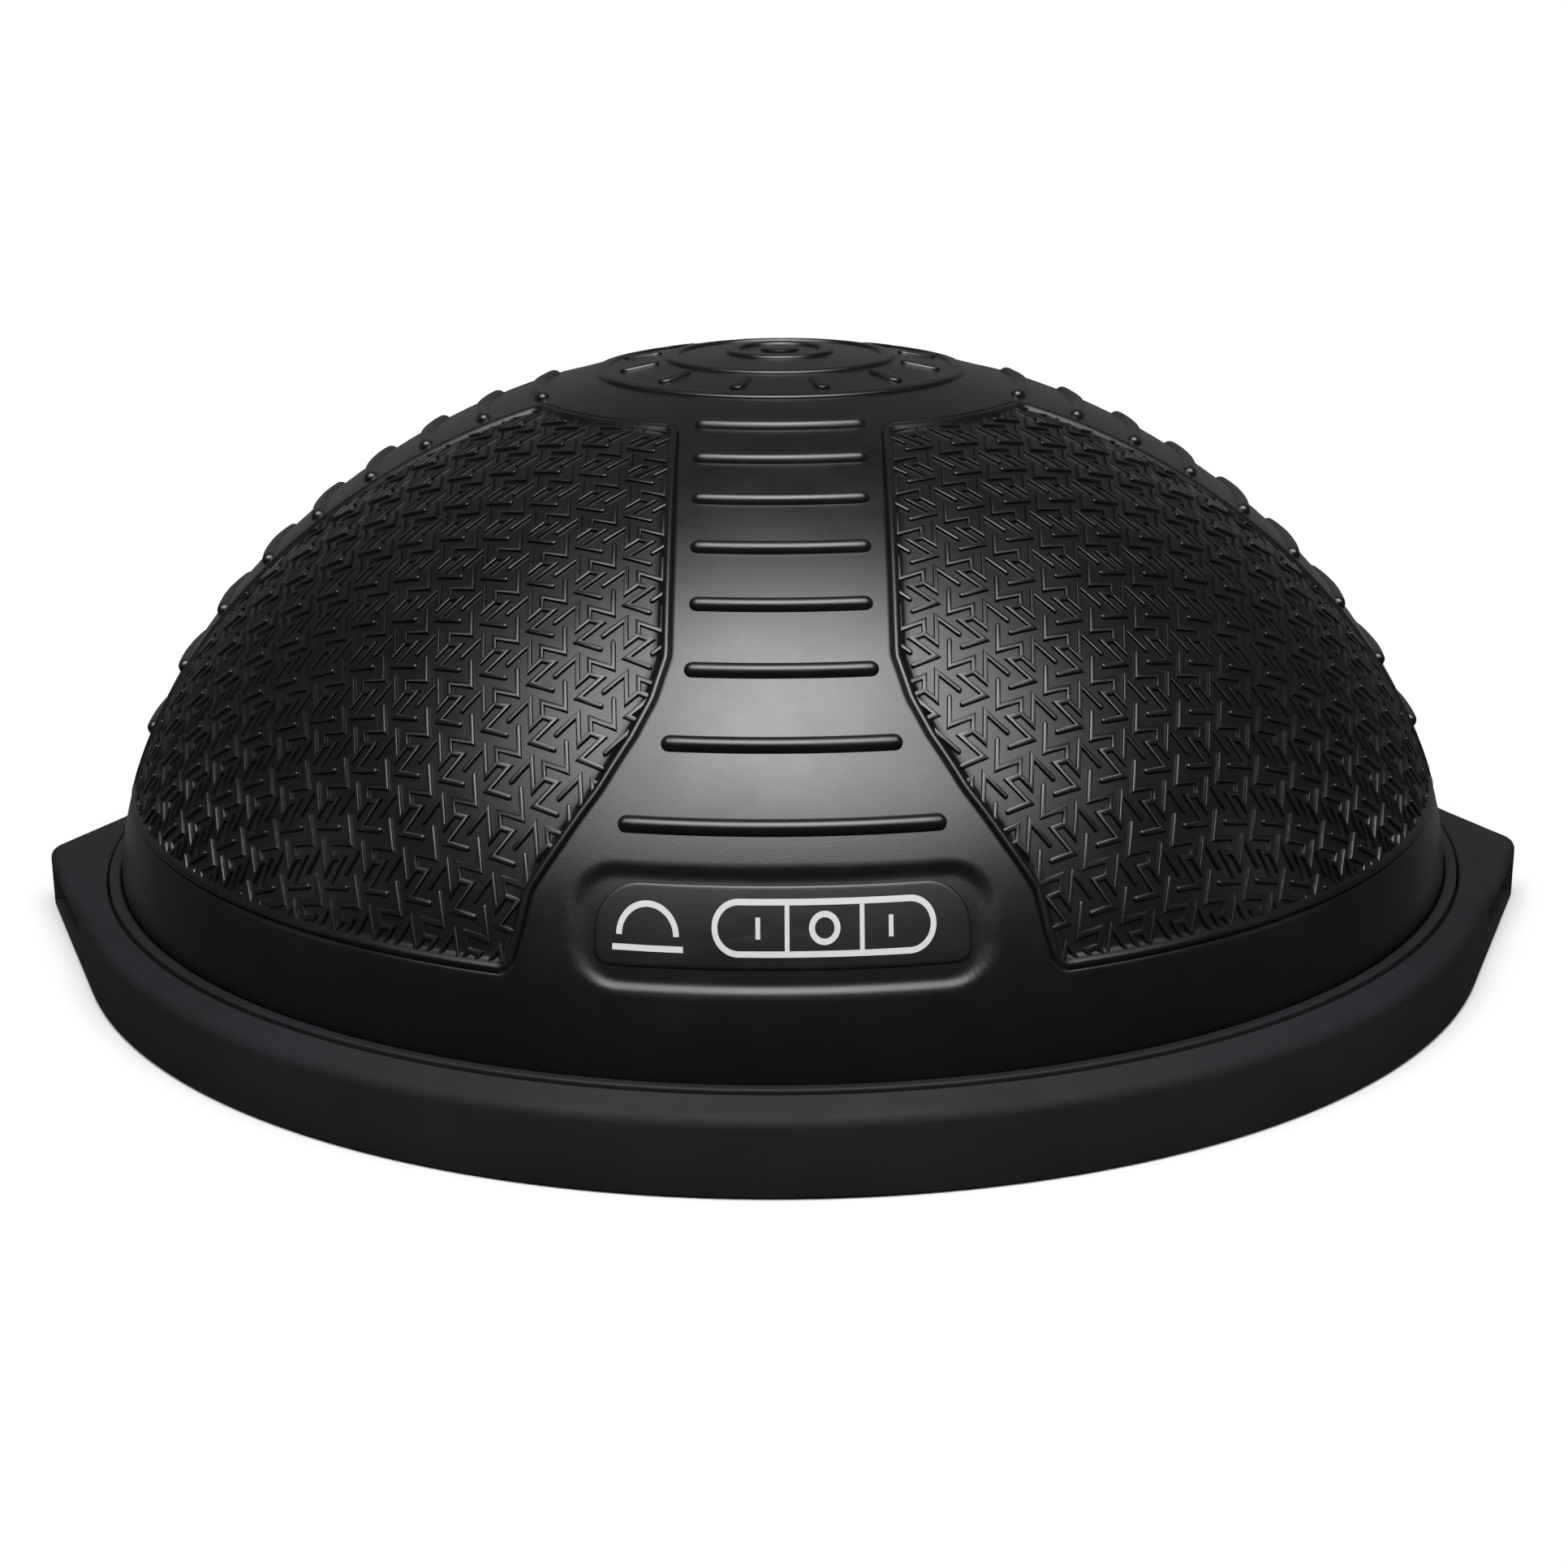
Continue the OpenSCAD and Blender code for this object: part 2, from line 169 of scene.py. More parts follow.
def on_dome(s, azimuth, height=0.0):
    """Points at the length s down the skin, azimuth from -Y towards +X, raised by height."""
    r = np.interp(s, S, R) + height * np.interp(s, S, NR)
    z = np.interp(s, S, Z) + height * np.interp(s, S, NZ)
    return np.stack([r * np.sin(azimuth), -r * np.cos(azimuth), z], -1)


def flat_to_skin(flat):
    """A point of the flat pattern as (length, azimuth) on the skin."""
    rho = np.hypot(flat[..., 0], flat[..., 1])
    return np.interp(rho, RHO, S), np.arctan2(flat[..., 0], -flat[..., 1])


def on_flat(flat, height):
    s, azimuth = flat_to_skin(flat)
    return on_dome(s, azimuth, height)


def border_azimuth(front):
    """Azimuth of a column's border at each entry of the section table, and the slope of that line."""
    half = np.full_like(S, COLUMN_HALF)
    if front:
        reach = [math.hypot(x, y) for x, y in FLARE]
        flared = np.interp(R, reach, [x for x, y in FLARE])
        half = np.where(R > reach[0], flared, FLARE[0][0])
    a = np.arcsin(np.clip(half / np.maximum(R, 1), 0, 0.95))
    slope = R * np.gradient(a, S)
    return a, np.sqrt(1 + slope ** 2)


PLAIN_AZ, PLAIN_K = border_azimuth(False)
FRONT_AZ, FRONT_K = border_azimuth(True)


def rounded_min(a, b, corner):
    """The smaller of two distances, with a rounded corner where they meet."""
    inner = corner - np.hypot(np.maximum(corner - a, 0), np.maximum(corner - b, 0))
    return np.where((a < corner) & (b < corner), inner, np.minimum(a, b))


def panel_distance(s, azimuth):
    """How far a point lies inside the nearest panel, in mm. Negative on the columns."""
    a = np.abs((azimuth + math.pi) % (2 * math.pi) - math.pi)
    is_front = a < math.pi / 2
    from_y = np.where(is_front, a, math.pi - a)
    from_x = math.pi / 2 - from_y
    r = radius_at(s)
    az_y = np.where(is_front, np.interp(s, S, FRONT_AZ), np.interp(s, S, PLAIN_AZ))
    k_y = np.where(is_front, np.interp(s, S, FRONT_K), np.interp(s, S, PLAIN_K))
    side_y = r * (from_y - az_y) / k_y
    side_x = r * (from_x - np.interp(s, S, PLAIN_AZ)) / np.interp(s, S, PLAIN_K)
    ends = rounded_min(s - PANEL_TOP, PANEL_END - s, CORNER_R)
    return rounded_min(rounded_min(side_y, side_x, CORNER_R), ends, CORNER_R)


def rounded_box(x, y, half, low, high, corner):
    """Distance inside a rounded rectangle, positive inside."""
    px = np.abs(x) - half + corner
    py = np.abs(y - (low + high) / 2) - (high - low) / 2 + corner
    outside = np.hypot(np.maximum(px, 0), np.maximum(py, 0))
    return corner - outside - np.minimum(np.maximum(px, py), 0)


def smooth(t):
    """An even ramp from 0 to 1."""
    t = np.clip(t, 0, 1)
    return t * t * (3 - 2 * t)


def skin_height(s, azimuth):
    """Height of the moulded skin above the plain dome: the panels' borders and the label's recess."""
    d = panel_distance(s, azimuth)
    h = np.interp(d, [x for x, y in BORDER], [y for x, y in BORDER])
    inside = rounded_box(radius_at(s) * azimuth, s, FRAME_HALF, length_at_height(FRAME_Z1),
                         length_at_height(FRAME_Z0), FRAME_CORNER)
    label = FRAME_DEPTH * smooth(inside / FRAME_FILLET + 0.2)
    return np.where(np.abs(azimuth) < 0.5, h + label, h)


# ---------------------------------------------------------------- mesh helpers

def make_mesh(name, points, faces, material, sharp=40, sharp_edges=(), body=BODY):
    """An object from points in mm, smooth except at angles above sharp and at the sharp edges."""
    mesh = bpy.data.meshes.new(name)
    mesh.from_pydata((np.asarray(points) * MM).tolist(), [], faces)
    mesh.validate()
    mesh.shade_smooth()
    mesh.set_sharp_from_angle(angle=math.radians(sharp))
    if len(sharp_edges):
        wanted = {tuple(sorted(e)) for e in sharp_edges}
        for edge in mesh.edges:
            if tuple(sorted(edge.vertices)) in wanted:
                edge.use_edge_sharp = True
    mesh.materials.append(material)
    obj = bpy.data.objects.new(name, mesh)
    bpy.context.scene.collection.objects.link(obj)
    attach(obj, body)
    return obj


def grid_faces(rows, columns, start=0, wrap_columns=True, wrap_rows=False):
    """Quads between rows of points. Seen from outside, rows run down and columns to the right."""
    faces = []
    for i in range(rows if wrap_rows else rows - 1):
        below = (i + 1) % rows
        for j in range(columns if wrap_columns else columns - 1):
            right = (j + 1) % columns
            faces.append((start + i * columns + j, start + below * columns + j,
                          start + below * columns + right, start + i * columns + right))
    return faces


def turned(section_points, columns):
    """A closed section of (r, z) points turned around Z."""
    a = np.linspace(0, 2 * math.pi, columns, endpoint=False)
    points = [[(r * math.sin(t), -r * math.cos(t), z) for t in a] for r, z in section_points]
    flat = [p for row in points for p in row]
    return flat, grid_faces(len(section_points), columns, wrap_rows=True)


def arc(cx, cz, radius, a0, a1, steps):
    """Points on an arc from one angle to another, in degrees."""
    return [(cx + radius * math.cos(math.radians(a0 + (a1 - a0) * i / steps)),
             cz + radius * math.sin(math.radians(a0 + (a1 - a0) * i / steps))) for i in range(steps + 1)]


def along_and_beside(line, closed):
    """Unit vectors along each segment of a line, and to its left."""
    way = np.diff(np.vstack([line, line[:1]]) if closed else line, axis=0)
    way /= np.linalg.norm(way, axis=1)[:, None]
    return way, np.stack([-way[:, 1], way[:, 0]], -1)


def mitred(before, after):
    """Where two sides meet, kept short at sharp corners."""
    return (before + after) / max(1 + before @ after, 0.3)


class Relief:
    """Raised strips laid on the dome, drawn as lines in the flat pattern."""

    def __init__(self, base):
        self.base = base
        self.points = []
        self.faces = []

    def add(self, flat, heights):
        start = len(self.points)
        self.points.extend(on_flat(np.asarray(flat, float), np.asarray(heights, float) + self.base))
        return start

    def strip(self, line, profile, start="round", end="round", closed=False, end_power=0.35, scale=1.0):
        """A strip along line. Ends are round, flat, or hub: a third of a three-armed joint."""
        line = np.asarray(line, float)
        width = np.array([w for w, h in profile]) * scale
        height = np.array([h for w, h in profile])
        n = len(profile)
        way, side = along_and_beside(line, closed)
        rows, rises = [], []

        def cap(centre, direction, lateral, outward):
            reach = width.max()
            turns = [25, 50, 72, 88]
            for t in (turns if outward else turns[::-1]):
                c, f = math.cos(math.radians(t)), math.sin(math.radians(t))
                rows.append(centre + direction * reach * f + lateral * (width * c)[:, None])
                rises.append(np.where(height > 0, height * c ** end_power, height))

        for i, point in enumerate(line):
            if closed or 0 < i < len(line) - 1:
                rows.append(point + mitred(side[i - 1], side[i % len(side)]) * width[:, None])
                rises.append(height)
            elif i == 0:
                if start == "round":
                    cap(point, -way[0], side[0], False)
                if start == "hub":
                    spread = 1 / math.tan(math.radians(60))
                    rows.append(point + side[0] * width[:, None] + way[0] * (np.abs(width) * spread)[:, None])
                else:
                    rows.append(point + side[0] * width[:, None])
                rises.append(height)
            else:
                rows.append(point + side[-1] * width[:, None])
                rises.append(height)
                if end == "round":
                    cap(point, way[-1], side[-1], True)
        first = self.add(np.vstack(rows), np.concatenate(rises))
        count = len(rows)
        for i in range(count if closed else count - 1):
            nxt = (i + 1) % count
            for j in range(n):
                k = (j + 1) % n
                self.faces.append((first + i * n + j, first + nxt * n + j, first + nxt * n + k,
                                   first + i * n + k))
        if not closed and start != "hub":
            self.faces.append(tuple(first + j for j in range(n)))
        if not closed:
            self.faces.append(tuple(first + (count - 1) * n + j for j in reversed(range(n))))
        return first

    def disc(self, centre, radius, profile_height, sides=28):
        """A raised round button with a rounded edge."""
        t = np.linspace(0, 2 * math.pi, sides, endpoint=False)
        ring = np.stack([np.cos(t), np.sin(t)], -1)
        rows, rises = [], []
        for share, rise in ((1.0, -0.4), (0.98, 0.45), (0.9, 0.85), (0.78, 1.0), (0.4, 1.0)):
            rows.append(np.asarray(centre) + ring * radius * share)
            rises.append(np.full(sides, profile_height * rise))
        first = self.add(np.vstack(rows), np.concatenate(rises))
        for i in range(len(rows) - 1):
            for j in range(sides):
                k = (j + 1) % sides
                self.faces.append((first + i * sides + j, first + i * sides + k,
                                   first + (i + 1) * sides + k, first + (i + 1) * sides + j))
        self.faces.append(tuple(first + (len(rows) - 1) * sides + j for j in range(sides)))
        self.faces.append(tuple(first + j for j in reversed(range(sides))))

    def build(self, name, material, sharp=38):
        return make_mesh(name, np.array(self.points), self.faces, material, sharp)


# ---------------------------------------------------------------- materials

class Nodes:
    """A material with a principled shader and texture coordinates in object space."""

    def __init__(self, name, colour, roughness, specular=0.5, metallic=0.0):
        self.material = bpy.data.materials.new(name)
        self.material.use_nodes = True
        self.tree = self.material.node_tree
        self.tree.nodes.clear()
        self.out = self.tree.nodes.new("ShaderNodeOutputMaterial")
        self.shader = self.tree.nodes.new("ShaderNodeBsdfPrincipled")
        self.tree.links.new(self.shader.outputs[0], self.out.inputs["Surface"])
        self.place = self.tree.nodes.new("ShaderNodeTexCoord").outputs["Object"]
        self.colour = colour
        self.shader.inputs["Base Color"].default_value = (*colour, 1)
        self.shader.inputs["Roughness"].default_value = roughness
        self.shader.inputs["Specular IOR Level"].default_value = specular
        self.shader.inputs["Metallic"].default_value = metallic
        self.normal = None

    def noise(self, scale, detail=3.0, rough=0.55, stretch=None):
        node = self.tree.nodes.new("ShaderNodeTexNoise")
        node.inputs["Scale"].default_value = scale
        node.inputs["Detail"].default_value = detail
        node.inputs["Roughness"].default_value = rough
        source = self.place
        if stretch:
            mapping = self.tree.nodes.new("ShaderNodeMapping")
            mapping.inputs["Scale"].default_value = stretch
            self.tree.links.new(source, mapping.inputs["Vector"])
            source = mapping.outputs[0]
        self.tree.links.new(source, node.inputs["Vector"])
        return node.outputs["Fac"]

    def remap(self, value, low, high, to_low, to_high):
        node = self.tree.nodes.new("ShaderNodeMapRange")
        node.inputs["From Min"].default_value = low
        node.inputs["From Max"].default_value = high
        node.inputs["To Min"].default_value = to_low
        node.inputs["To Max"].default_value = to_high
        self.tree.links.new(value, node.inputs["Value"])
        return node.outputs[0]

    def vary_colour(self, value, low, high, dark, light):
        ramp = self.tree.nodes.new("ShaderNodeValToRGB")
        ramp.color_ramp.elements[0].position = low
        ramp.color_ramp.elements[1].position = high
        ramp.color_ramp.elements[0].color = (*[c * dark for c in self.colour], 1)
        ramp.color_ramp.elements[1].color = (*[c * light for c in self.colour], 1)
        self.tree.links.new(value, ramp.inputs["Fac"])
        self.tree.links.new(ramp.outputs["Color"], self.shader.inputs["Base Color"])

    def vary_roughness(self, value, low, high, smoothest, roughest):
        self.tree.links.new(self.remap(value, low, high, smoothest, roughest),
                            self.shader.inputs["Roughness"])

    def bump(self, value, distance, strength=1.0):
        node = self.tree.nodes.new("ShaderNodeBump")
        node.inputs["Distance"].default_value = distance * MM
        node.inputs["Strength"].default_value = strength
        self.tree.links.new(value, node.inputs["Height"])
        if self.normal:
            self.tree.links.new(self.normal, node.inputs["Normal"])
        self.normal = node.outputs["Normal"]
        self.tree.links.new(self.normal, self.shader.inputs["Normal"])


def moulded(name, colour, roughness, specular, grain=1500, grain_depth=0.05, wear=0.25, spread=0.07):
    """A moulded rubber or plastic: fine grain, slow colour drift and handled, shinier patches."""
    m = Nodes(name, colour, roughness, specular)
    slow = m.noise(14, 4)
    m.vary_colour(slow, 0.32, 0.7, 1 - wear, 1 + wear)
    m.vary_roughness(m.noise(38, 5, 0.62), 0.3, 0.72, roughness - spread, roughness + spread)
    m.bump(m.noise(grain, 2, 0.6), grain_depth)
    m.bump(m.noise(120, 3, 0.5), grain_depth * 1.4, 0.5)
    return m.material


def metal(name, colour, roughness):
    """A brushed metal."""
    m = Nodes(name, colour, roughness, 0.5, 1.0)
    brushed = m.noise(900, 3, 0.6, (1.0, 1.0, 0.12))
    m.vary_colour(m.noise(260, 4), 0.35, 0.68, 0.8, 1.08)
    m.vary_roughness(brushed, 0.3, 0.7, roughness - 0.08, roughness + 0.12)
    m.bump(brushed, 0.02)
    return m.material


DOME_RUBBER = moulded("dome_rubber", (0.0019, 0.0019, 0.0021), 0.3, 0.5, 1700, 0.03, 0.18, 0.04)
LABEL_FILM = moulded("label_film", (0.002, 0.002, 0.0022), 0.34, 0.42, 2200, 0.015, 0.12, 0.03)
LABEL_PRINT = moulded("label_print", (0.36, 0.365, 0.37), 0.5, 0.3, 2200, 0.01, 0.05, 0.04)
CLAMP_PLASTIC = moulded("clamp_plastic", (0.0076, 0.0081, 0.0094), 0.55, 0.15, 1500, 0.03, 0.12, 0.05)
BUMPER_RUBBER = moulded("bumper_rubber", (0.0078, 0.0083, 0.0097), 0.62, 0.13, 1300, 0.045, 0.14, 0.06)
DECK_PLASTIC = moulded("deck_plastic", (0.09, 0.092, 0.1), 0.55, 0.4)
BASE_PLASTIC = moulded("base_plastic", (0.016, 0.0165, 0.018), 0.55, 0.4, 800, 0.09, 0.22, 0.08)
GASKET_RUBBER = moulded("gasket_rubber", (0.006, 0.006, 0.006), 0.7, 0.3)
SCREW_STEEL = metal("screw_steel", (0.52, 0.52, 0.53), 0.34)
INSERT_BRASS = metal("insert_brass", (0.62, 0.44, 0.2), 0.36)
VALVE_PLASTIC = moulded("valve_plastic", (0.42, 0.43, 0.45), 0.42, 0.45)
PLUG_RUBBER = moulded("plug_rubber", (0.011, 0.011, 0.012), 0.5, 0.35, 1500, 0.03)
FOOT_RUBBER = moulded("foot_rubber", (0.045, 0.046, 0.05), 0.75, 0.3, 900, 0.1, 0.3, 0.08)


# ---------------------------------------------------------------- dome

def row_lengths():
    """Lengths down the skin of its rows, closer together at borders and beside the label."""
    near = [-4, -2] + BORDER_STEPS
    crown = list(np.linspace(2.5, PANEL_TOP - 6, 24))
    top = [PANEL_TOP + d for d in near]
    label_top = length_at_height(FRAME_Z1) - 4
    field = list(np.arange(PANEL_TOP + 11, label_top - 1, 3.4))
    label = list(np.arange(label_top, PANEL_END - 8.5, 1.5))
    bottom = [PANEL_END - d for d in near[::-1]]
    base = list(np.arange(PANEL_END + 5.5, LENGTH - 3, 2.6)) + [LENGTH]
    return crown + top + field + label + bottom + base


def half_sector(s, azimuths, factors, columns, panel_columns):
    """Azimuths from a column's middle to the middle of the panel beside it."""
    held = min(max(s, PANEL_TOP - 2), PANEL_END + 4)
    r = float(radius_at(held))
    border = float(np.interp(held, S, azimuths))
    k = float(np.interp(held, S, factors)) / r
    near = [-3, -1.8] + BORDER_STEPS
    inner = list(np.linspace(0, border - 4.5 * k, columns))
    edge = [border + d * k for d in near]
    outer = list(np.linspace(border + 11 * k, math.pi / 4, panel_columns))
    return inner + edge + outer


def full_ring(s):
    """Azimuths of one row, all the way round from the front."""
    front = half_sector(s, FRONT_AZ, FRONT_K, 40, 15)
    plain = half_sector(s, PLAIN_AZ, PLAIN_K, 9, 15)
    quarter = math.pi / 2
    right = front + [quarter - a for a in plain[::-1][1:]] + [quarter + a for a in plain[1:]]
    right += [math.pi - a for a in plain[::-1][1:]]
    left = [2 * math.pi - a for a in right[::-1][1:-1]]
    return np.array(right + left)


def dome_skin():
    """The bladder: outer skin, bead, inner floor with the valve's hole, and inner skin."""
    rows = []
    for s in row_lengths():
        azimuth = full_ring(s)
        signed = (azimuth + math.pi) % (2 * math.pi) - math.pi
        length = np.full_like(azimuth, s)
        rows.append(on_dome(length, azimuth, skin_height(length, signed)))
    azimuth = full_ring(LENGTH)
    columns = len(azimuth)

    def plain_row(r, z):
        return np.stack([r * np.sin(azimuth), -r * np.cos(azimuth), np.full(columns, float(z))], -1)

    inner_r = DOME_R - WALL
    bead_top = 22
    floor_top = FLOOR_Z + 3
    edge = [(DOME_R, 30), (DOME_R, bead_top + 0.4), (DOME_R + 0.4, bead_top), (BEAD_R, bead_top),
            (BEAD_R, BEAD_Z), (inner_r, BEAD_Z), (inner_r, FLOOR_Z), (FLOOR_HOLE, FLOOR_Z),
            (FLOOR_HOLE, floor_top), (inner_r, floor_top)]
    rows += [plain_row(r, z) for r, z in edge]
    for s in np.linspace(LENGTH, 14, 18):
        rows.append(on_dome(np.full(columns, s), azimuth, -WALL))
    top = [(0, 0, APEX_Z), (0, 0, APEX_Z - WALL)]
    points = np.vstack([np.vstack(rows), top])
    faces = grid_faces(len(rows), columns)
    apex = len(points) - 2
    last = (len(rows) - 1) * columns
    for j in range(columns):
        k = (j + 1) % columns
        faces.append((apex, j, k))
        faces.append((apex + 1, last + k, last + j))
    skin = make_mesh("dome_skin", points, faces, DOME_RUBBER, 62)
    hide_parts("dome_bladder")


def clip_point(inside, outside):
    """The point of the line between the two that lies on the panel's clipping line."""
    for _ in range(14):
        middle = (inside + outside) / 2
        if panel_distance(*flat_to_skin(middle)) > RIB_CLIP:
            inside = middle
        else:
            outside = middle
    return inside


def clipped_runs(line):
    """Parts of a rib that lie in the panel, each with the kind of its two ends."""
    inside = [bool(panel_distance(*flat_to_skin(p)) > RIB_CLIP) for p in line]
    runs, current, start = [], [], "flat"
    for i, point in enumerate(line):
        if inside[i]:
            if not current:
                start = "hub" if i == 0 else "flat"
                current = [point] if i == 0 else [clip_point(point, line[i - 1]), point]
            else:
                current.append(point)
        elif current:
            current.append(clip_point(line[i - 1], point))
            runs.append((current, start, "flat"))
            current = []
    if current:
        runs.append((current, start, "round"))
    return [r for r in runs if np.linalg.norm(r[0][0] - r[0][-1]) > 0.6 or len(r[0]) > 2]


def rib_line(centre, arm, mirror):
    """One arm of a rib, from its middle outwards."""
    points = [np.array(centre, float)]
    for angle, length in RIB_ARMS:
        turn = math.radians(angle + 120 * arm)
        points.append(points[-1] + length * np.array([math.cos(turn), math.sin(turn)]))
    return [p * mirror for p in points]


def panel_ribs(name, mirror):
    """One panel full of ribs. Mirror is (1, 1) for the panel at -X, -Y."""
    relief = Relief(PANEL_FLOOR)
    mirror = np.array(mirror, float)
    heights = [h for w, h in RIB_PROFILE]
    crest = heights.index(max(heights))
    # arms are taken anticlockwise, which is the other way round in a mirrored panel
    arms = (2, 1, 0) if mirror[0] * mirror[1] < 0 else (0, 1, 2)
    for i in range(-2, 16):
        for j in range(-8, 9):
            x = -RIB_X - RIB_COLUMN * i
            y = -RIB_Y - RIB_STEP * j - (RIB_STEP / 2 if i % 2 else 0)
            if x > 0 or y > 0 or not RIB_NEAREST < math.hypot(x, y) < RIB_FARTHEST:
                continue
            runs = []
            for arm in arms:
                runs += clipped_runs(rib_line((x, y), arm, mirror))
            # where the border takes an arm away, the other two end flat in place of a joint
            joined = sum(start == "hub" for line, start, end in runs) == 3
            hub = []
            for line, start, end in runs:
                if start == "hub" and not joined:
                    start = "flat"
                first = relief.strip(line, RIB_PROFILE, start, end)
                if start == "hub":
                    hub.append(first)
            if joined:
                relief.faces.append(tuple(reversed(hub)))
                relief.faces.append(tuple(first + crest for first in hub))
    relief.build(name, DOME_RUBBER)


def foot_ridges(name, turn, count, front):
    """The ridges across one column. The lowest ones of the front column widen with it."""
    relief = Relief(0)
    for i in range(count):
        t = math.radians(RIDGE_FIRST + RIDGE_STEP * i)
        s = float(np.interp(t, np.arctan2(R, Z - RING_Z), S))
        half = RIDGE_HALF + (RIDGE_FLARE.get(i, 0) if front else 0)
        reach = (half - RIDGE_PROFILE[-1][0]) / float(radius_at(s))
        rho = float(np.interp(s, S, RHO))
        spread = float(np.interp(s, S, np.gradient(RHO, S)))
        angles = np.linspace(-reach, reach, 25) + turn
        line = np.stack([rho * np.sin(angles), -rho * np.cos(angles)], -1)
        relief.strip(line, RIDGE_PROFILE, end_power=1.0, scale=spread)
    relief.build(name, DOME_RUBBER, 60)


def circle(radius, count):
    t = np.linspace(0, 2 * math.pi, count, endpoint=False)
    return np.stack([radius * np.cos(t), radius * np.sin(t)], -1)


def crown_emblem():
    """A plain dial: two rings, twelve marks between them and a button in the middle."""
    relief = Relief(0)
    wide = [(-3.5, -0.4), (-3.2, 0.6), (-2.7, 1.1), (-1.8, 1.3),
            (1.8, 1.3), (2.7, 1.1), (3.2, 0.6), (3.5, -0.4)]
    relief.strip(circle(82, 144), wide, closed=True)
    relief.strip(circle(50, 108), wide, closed=True)
    for k in range(12):
        t = math.radians(15 + 30 * k)
        way = np.array([math.cos(t), math.sin(t)])
        relief.strip([way * 60.5, way * 66, way * 71.5], wide)
    relief.strip(circle(22, 60), wide, closed=True)
    relief.disc((0, 0), 9, 1.3, 36)
    relief.build("crown_emblem", DOME_RUBBER)


# ---------------------------------------------------------------- label

def label_outline(inset):
    """Outline of the label as (across, height) points, anticlockwise from outside."""
    low, high = LABEL_Z0 + inset, LABEL_Z1 - inset
    half = LABEL_HALF - inset
    big, small = 17 - inset, 5 - inset * 0.5
    points = arc(half - small, low + small, small, -90, 0, 8)
    points += arc(half - big, high - big, big, 0, 90, 14)
    points += arc(-half + big, high - big, big, 90, 180, 14)
    points += arc(-half + small, low + small, small, 180, 270, 8)
    dense = []
    for a, b in zip(points, points[1:] + points[:1]):
        steps = max(1, int(math.dist(a, b) / 6))
        dense += [(a[0] + (b[0] - a[0]) * k / steps, a[1] + (b[1] - a[1]) * k / steps) for k in range(steps)]
    return np.array(dense)


def label_to_dome(across, height, rise):
    """A point of the label, by its distance from the middle and its height, on the dome."""
    s = np.interp(-height, -Z, S)
    return on_dome(s, across / radius_at(s), rise)


def label_plate():
    outer = label_outline(0)
    count = len(outer)
    middle = np.array([0, (LABEL_Z0 + LABEL_Z1) / 2])
    rows = [(outer, PLATE_UNDER), (outer, -1.05), (label_outline(0.3), -0.75),
            (label_outline(0.9), PLATE_TOP)]
    edge = label_outline(1.6)
    for share in (1, 0.8, 0.6, 0.4, 0.2):
        rows.append((middle + (edge - middle) * share, PLATE_TOP))
    points = np.vstack([label_to_dome(p[:, 0], p[:, 1], rise) for p, rise in rows])
    ends = label_to_dome(np.array([0, 0]), np.array([middle[1]] * 2), np.array([PLATE_TOP, PLATE_UNDER]))
    points = np.vstack([points, ends])
    faces = []
    for i in range(len(rows) - 1):
        for j in range(count):
            k = (j + 1) % count
            faces.append((i * count + j, i * count + k, (i + 1) * count + k, (i + 1) * count + j))
    last = (len(rows) - 1) * count
    for j in range(count):
        k = (j + 1) % count
        faces.append((last + j, last + k, len(points) - 2))
        faces.append((k, j, len(points) - 1))
    plate = make_mesh("label_plate", points, faces, LABEL_FILM, 50)
    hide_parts("label_front")


def print_line(points, faces, line, width, closed=False):
    """A printed stroke of even width on the label."""
    line = np.asarray(line, float)
    way, side = along_and_beside(line, closed)
    start = len(points)
    count = len(line)
    for i, point in enumerate(line):
        before = side[i - 1] if (i or closed) else side[0]
        after = side[i % len(side)] if (i < len(side) or closed) else side[-1]
        mitre = mitred(before, after)
        for share, rise in ((-1, -0.9), (-1, -0.5), (1, -0.5), (1, -0.9)):
            across, height = point + mitre * share * width / 2
            points.append(label_to_dome(np.array(across), np.array(height), rise))
    for i in range(count if closed else count - 1):
        nxt = (i + 1) % count
        for j in range(4):
            k = (j + 1) % 4
            faces.append((start + i * 4 + j, start + nxt * 4 + j, start + nxt * 4 + k, start + i * 4 + k))
    if not closed:
        faces.append(tuple(start + j for j in range(4)))
        faces.append(tuple(start + (count - 1) * 4 + j for j in reversed(range(4))))


def label_print():
    """Plain marks in place of a printed name: a dome over a line, and a spirit level with its bubble."""
    points, faces = [], []
    stroke = 2.1
    middle = (LABEL_Z0 + LABEL_Z1) / 2
    floor_line = middle - 7.6
    sweep = np.linspace(0, math.pi, 41)
    dome = [(-49 + 10.5 * math.cos(t), floor_line + 4.2 + 10.5 * math.sin(t)) for t in sweep]
    print_line(points, faces, dome, stroke)
    print_line(points, faces, [(-62, floor_line), (-49, floor_line), (-36, floor_line)], stroke)
    left, right, tube = -16, 46, 8.6
    steps = [left + (right - left) * i / 16 for i in range(1, 16)]
    outline = arc(left, middle, tube, 90, 270, 24) + [(x, middle - tube) for x in steps]
    outline += arc(right, middle, tube, -90, 90, 24) + [(x, middle + tube) for x in steps[::-1]]
    print_line(points, faces, outline, stroke, closed=True)
    centre = (left + right) / 2
    print_line(points, faces, arc(centre, middle, 4.6, 0, 345, 23), stroke, closed=True)
    for side in (-1, 1):
        for offset, half in ((13.5, 8.2), (24, 3.6)):
            x = centre + side * offset
            print_line(points, faces, [(x, middle - half), (x, middle), (x, middle + half)], stroke * 0.8)
    make_mesh("label_marks", np.array(points), faces, LABEL_PRINT, 40)


# ---------------------------------------------------------------- rim

